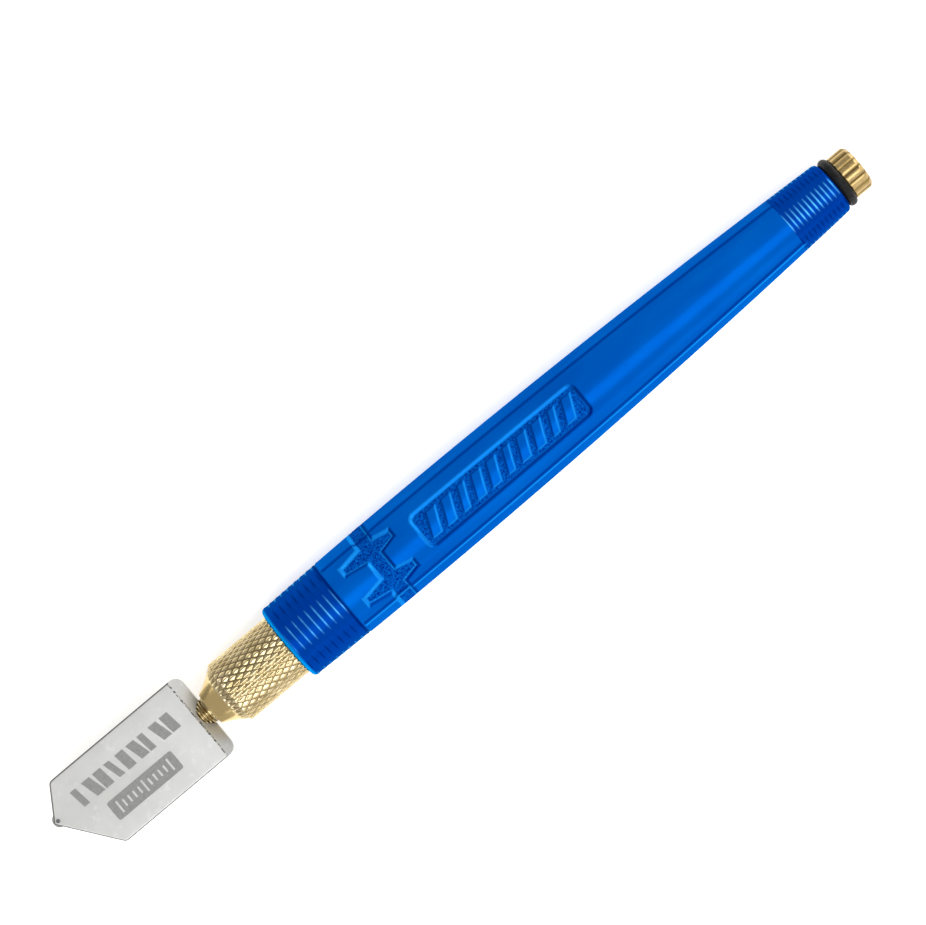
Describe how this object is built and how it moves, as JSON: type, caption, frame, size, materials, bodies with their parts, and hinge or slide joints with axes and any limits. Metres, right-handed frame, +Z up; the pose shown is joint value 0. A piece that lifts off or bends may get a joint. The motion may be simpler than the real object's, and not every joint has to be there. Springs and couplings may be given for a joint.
{
  "type": "glass cutter",
  "caption": "Hand-held oil-fed glass cutter: pointed wide flat head with a small wheel, knurled brass barrel and translucent reservoir handle.",
  "frame": {"origin": "bottom centre of the box round the tool as it lies on a table: the tool's axis is 7.5 mm above it", "axes": "+X along the tool's axis from the cutting wheel to the filler cap, +Z up, away from the table and square to the head's broad faces"},
  "size_m": [0.175, 0.016, 0.015],
  "materials": {
    "head": "satin chrome plate",
    "wheel": "ground carbide",
    "pin": "ground",
    "brass": "turned and knurled, bright",
    "inner_brass": "turned",
    "spring": "drawn wire",
    "handle": "translucent blue, polished, with stippled recesses",
    "rubber": "black, smooth",
    "wick": "cotton cord"
  },
  "bodies": {
    "handle_unit": {"handle": "handle", "knurled_barrel": "brass", "barrel_gasket": "rubber", "nose_seal": "rubber", "spring_retainer": "inner_brass", "valve_spring": "spring"},
    "valve_ring": {"valve_seal": "rubber"},
    "head_unit": {"head_body": "head", "wheel_axle": "pin", "head_stem": "brass", "oil_wick": "wick", "valve_plunger": "inner_brass", "valve_poppet": "inner_brass"},
    "wheel": {"cutting_wheel": "wheel"},
    "cap_ring": {"cap_seal": "rubber"},
    "cap": {"filler_cap": "brass"}
  },
  "joints": [
    {"name": "head_press", "type": "slide", "parent": "handle_unit", "child": "valve_ring", "axis": [1, 0, 0], "range_m": [0, 0.0005], "stiffness_N_per_m": 1500, "springref_m": -0.002, "deforming": ["valve_spring"]},
    {"name": "head_swivel", "type": "hinge", "parent": "valve_ring", "child": "head_unit", "pos_m": [-0.05475, 0, 0.00751], "axis": [1, 0, 0], "continuous": true},
    {"name": "wheel_spin", "type": "hinge", "parent": "head_unit", "child": "wheel", "pos_m": [-0.08615, 0.002, 0.00751], "axis": [0, 0, 1], "continuous": true},
    {"name": "cap_lift", "type": "slide", "parent": "handle_unit", "child": "cap_ring", "axis": [1, 0, 0], "range_m": [0, 0.0072]},
    {"name": "cap_turn", "type": "hinge", "parent": "cap_ring", "child": "cap", "pos_m": [0.08195, 0, 0.00751], "axis": [1, 0, 0], "range_deg": [0, 2880]}
  ],
  "couplings": [
    {"joint": "cap_turn", "follows": "cap_lift", "rad_per_m": 6981.3}
  ]
}
